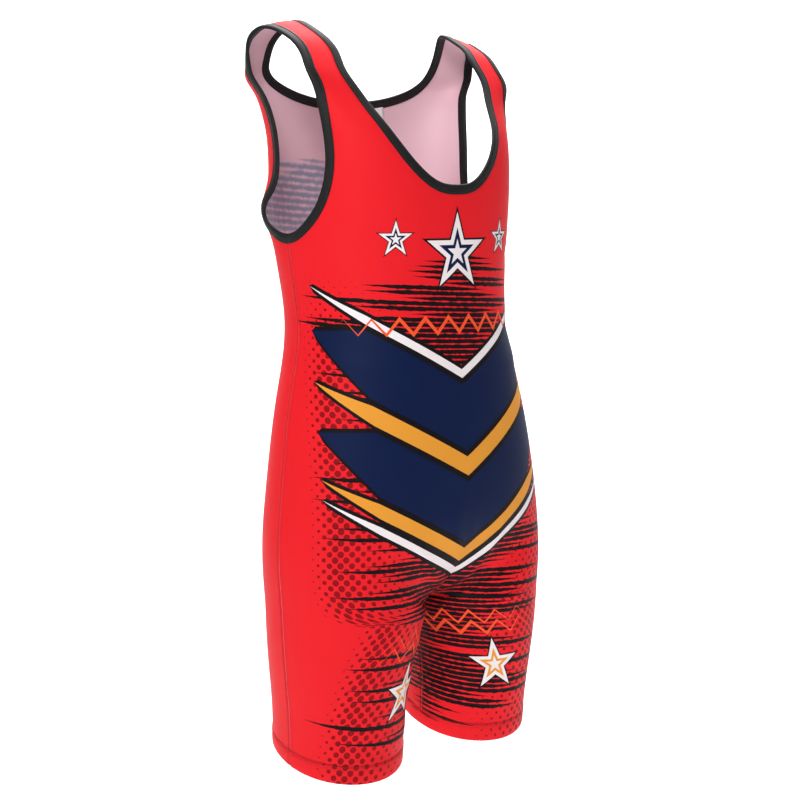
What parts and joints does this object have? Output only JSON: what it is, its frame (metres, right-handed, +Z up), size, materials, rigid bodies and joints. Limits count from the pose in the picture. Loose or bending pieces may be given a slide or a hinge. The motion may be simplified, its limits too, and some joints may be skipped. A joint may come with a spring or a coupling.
{
  "type": "wrestling singlet",
  "caption": "Sleeveless one-piece stretch wrestling suit with scoop neck, deep armholes, short legs and bound edges, standing in its worn shape with nobody in it",
  "frame": {"origin": "midway between the tops of the two shoulder straps, on the shoulder line", "axes": "+Z up along the wearer, the front of the garment faces -Y, the wearer's left is +X"},
  "size_m": [0.3836, 0.2415, 0.8684],
  "materials": {
    "printed_knit": "smooth red polyester and elastane knit with a dye-printed design",
    "black_elastic": "fine ribbed matt folded elastic",
    "white_label": "plain woven satin, blank"
  },
  "bodies": {
    "root": {"front": "printed_knit", "back": "printed_knit", "neck_binding": "black_elastic", "armhole_binding_left": "black_elastic", "armhole_binding_right": "black_elastic", "leg_hem_left": "printed_knit", "leg_hem_right": "printed_knit", "label": "white_label"}
  },
  "joints": []
}
